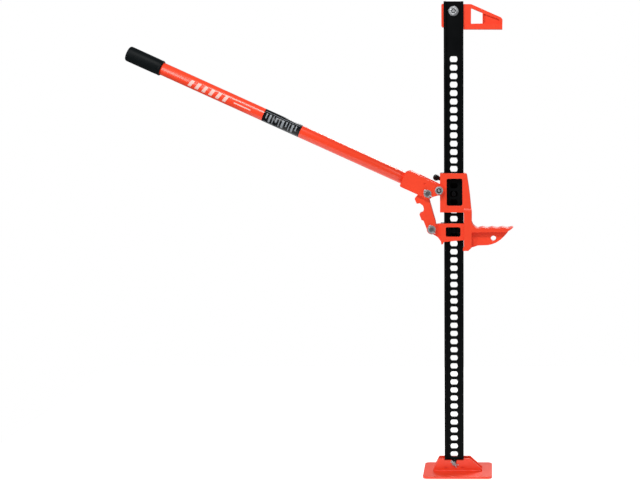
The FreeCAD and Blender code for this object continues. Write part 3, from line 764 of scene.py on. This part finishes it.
SLANT_COUNT = 6
SLANT_START_MM = 172.0
SLANT_STEP_MM = 19.0
SLANT_WIDTH_MM = 9.0
SLANT_LEAN_MM = 6.0
SLANT_ANGLES = (-42, 22)
SLANT_RULE_MM = (298.0, 344.0)
SLANT_RULE_ANGLES = (-14, -4)
for number in range(SLANT_COUNT):
    start = SLANT_START_MM + number * SLANT_STEP_MM
    rolled_patch("slant_bar_%d" % number, start, start + SLANT_WIDTH_MM, *SLANT_ANGLES, FILM, mark_ink,
                 slant_mm=SLANT_LEAN_MM)
rolled_patch("slant_rule", *SLANT_RULE_MM, *SLANT_RULE_ANGLES, FILM, mark_ink)
print("film laid from", LABEL_START_MM, "to", LABEL_END_MM, "mm from the tip")

# %% [markdown]
# ## The tube
# The tube itself is a plain CAD cylinder whose facets show along its edge. A finely spun sleeve in the
# same place gives a clean highlight from end to end.

# %% Handle tube
TUBE_WALL = 1.8 * MM
TUBE_CHAMFER = 0.3 * MM
tube_length = ((tube_high.x - tube_low.x) - 2 * abs(outward.z) * tube_radius) / abs(outward.x)
tube_start = (tube_centre - grip_tip).length - tube_length / 2
tube_end = tube_start + tube_length
bore = tube_radius - TUBE_WALL
tube_shoulder = tube_radius - TUBE_CHAMFER
tube_points = [(tube_start, bore), (tube_start, tube_shoulder), (tube_start + TUBE_CHAMFER, tube_radius),
               (tube_end - TUBE_CHAMFER, tube_radius), (tube_end, tube_shoulder), (tube_end, bore),
               (tube_start, bore)]
tube = finished_piece("drawn_tube", on_handle(turned_along_x(tube_points, steps=96)), tube_enamel)
stands_for(tube, "handle_tube")

# %% [markdown]
# ## Weld seams
# The base cheeks are welded to the plate. A weld is a row of frozen puddles, so the bead is a tube of
# small rings whose radius rises and falls, a little unevenly, sunk half into the corner.

# %% Beads
PUDDLE_LENGTH = 2.6 * MM
RINGS_PER_PUDDLE = 4
BEAD_END_SHARE = 0.55


def bead(name, start, end, radius_mm, body):
    shape = bmesh.new()
    run = end - start
    puddles = round(run.length / PUDDLE_LENGTH)
    axis = run.normalized()
    side = axis.cross(Vector((0, 0, 1))).normalized()
    first = bmesh.ops.create_circle(shape, cap_ends=True, radius=1.0, segments=12)["verts"]
    tilt = Matrix((side, Vector((0, 0, 1)), axis)).transposed().to_4x4()
    bmesh.ops.transform(shape, matrix=tilt, verts=first)
    loop = list(shape.edges)
    rings = [first]
    for _ in range(puddles * RINGS_PER_PUDDLE):
        made = bmesh.ops.extrude_edge_only(shape, edges=loop)["geom"]
        loop = [item for item in made if isinstance(item, bmesh.types.BMEdge)
                and all(vert in made for vert in item.verts)]
        rings.append([item for item in made if isinstance(item, bmesh.types.BMVert)])
    for number, ring in enumerate(rings):
        share = number / (len(rings) - 1)
        swell = 0.82 + 0.18 * abs(math.sin(math.pi * number / RINGS_PER_PUDDLE))
        swell *= 1.0 + 0.06 * math.sin(number * 1.7)
        size = radius_mm * MM * swell * (1.0 if 0 < number < len(rings) - 1 else BEAD_END_SHARE)
        middle_point = start + run * share
        for vert in ring:
            vert.co = middle_point + vert.co.normalized() * size
    bmesh.ops.contextual_create(shape, geom=loop)
    bmesh.ops.recalc_face_normals(shape, faces=shape.faces)
    shade(shape, True)
    piece = finished_piece(name, shape, cast_enamel)
    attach(piece, body)
    return piece


SEAM_INSET = 3 * MM
for node_name, face_side in (("base_cheek_front", -1), ("base_cheek_back", 1)):
    cheek_low, cheek_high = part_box(node_name)
    outer_y = cheek_low.y if face_side < 0 else cheek_high.y
    seam_y = outer_y + face_side * 0.6 * MM
    seam_z = cheek_low.z + 0.8 * MM
    bead(node_name + "_seam", Vector((cheek_low.x + SEAM_INSET, seam_y, seam_z)),
         Vector((cheek_high.x - SEAM_INSET, seam_y, seam_z)), 2.6, "upright")
print("base seams laid")

# %% [markdown]
# ## The studio
# The floor is white paper that glows a little, and it is kept small, so that its edge is lost in the
# backdrop and there is no horizon.

# %% Paper floor
FLOOR_HALF_SIZE = 1.3
floor_finish, floor_tree, _ = new_finish("matte_white_paper")
close_finish(floor_tree, add_node(floor_tree, "ShaderNodeBsdfPrincipled", Base_Color=colour("B4B4B4"),
                                  Roughness=0.9, Specular_IOR_Level=0.1,
                                  Emission_Color=colour("FFFFFF"), Emission_Strength=0.85))
stage_shape = bmesh.new()
bmesh.ops.create_grid(stage_shape, x_segments=1, y_segments=1, size=FLOOR_HALF_SIZE)
floor = finished_piece("paper_floor", stage_shape, floor_finish)

# %% [markdown]
# A studio lights a black bar by keeping the dark behind the camera: whatever the bar mirrors has to be
# dark for it to stay black. So the world is dim for light rays and plain white only where it is seen
# directly, and four soft boxes do the lighting: one above, one at each side and one behind.

# %% World and lamps
LIGHT_RAY_STRENGTH = 0.16
SEEN_STRENGTH = 1.0
WHITE = (1.0, 1.0, 1.0, 1.0)
world = bpy.data.worlds.new("studio")
bpy.context.scene.world = world
world.use_nodes = True
sky = world.node_tree
sky.nodes.clear()
dim = add_node(sky, "ShaderNodeBackground", Color=WHITE, Strength=LIGHT_RAY_STRENGTH)
backdrop = add_node(sky, "ShaderNodeBackground", Color=WHITE, Strength=SEEN_STRENGTH)
seen = add_node(sky, "ShaderNodeLightPath").outputs["Is Camera Ray"]
either = sky.nodes.new("ShaderNodeMixShader")
sky.links.new(seen, either.inputs[0])
sky.links.new(dim.outputs[0], either.inputs[1])
sky.links.new(backdrop.outputs[0], either.inputs[2])
sky.links.new(either.outputs[0], sky.nodes.new("ShaderNodeOutputWorld").inputs["Surface"])


def soft_box(name, place, target, size, watts):
    """A rectangular lamp at a place in metres, turned to face its target."""
    light = bpy.data.lights.new(name, "AREA")
    light.shape = "RECTANGLE"
    light.size = size[0]
    light.size_y = size[1]
    light.energy = watts
    lamp = bpy.data.objects.new(name, light)
    lamp.location = place
    lamp.rotation_euler = (Vector(target) - Vector(place)).to_track_quat("-Z", "Y").to_euler()
    bpy.context.scene.collection.objects.link(lamp)


middle = (cad_low + cad_high) / 2
soft_box("key_box", (-0.5, -1.6, 2.7), middle, (1.3, 0.6), 44)
soft_box("left_box", (-2.1, -1.5, 1.7), middle, (0.7, 1.4), 24)
soft_box("right_box", (2.3, -1.6, 1.2), middle, (0.6, 1.6), 12)
soft_box("rim_box", (0.8, 2.3, 2.2), middle, (2.0, 1.0), 60)

# %% [markdown]
# The camera stands 3.2 m in front of the bar, a little above the middle of the jack, and looks slightly
# down. It faces the bar squarely, and a sideways shift of the lens brings the long handle into the frame.

# %% Camera
CAMERA_PLACE = (0.098, -3.2, 0.9698)
CAMERA_DIP = 6.305
CAMERA_ROLL = -0.1
LENS_MM = 69.9
SIDE_SHIFT = -0.2687
camera_data = bpy.data.cameras.new("camera")
camera_data.lens = LENS_MM
camera_data.shift_x = SIDE_SHIFT
camera = bpy.data.objects.new("camera", camera_data)
camera.location = CAMERA_PLACE
camera.rotation_euler = (math.radians(90 - CAMERA_DIP), math.radians(CAMERA_ROLL), 0)
bpy.context.scene.collection.objects.link(camera)
bpy.context.scene.camera = camera
bpy.context.scene.view_settings.view_transform = "Standard"
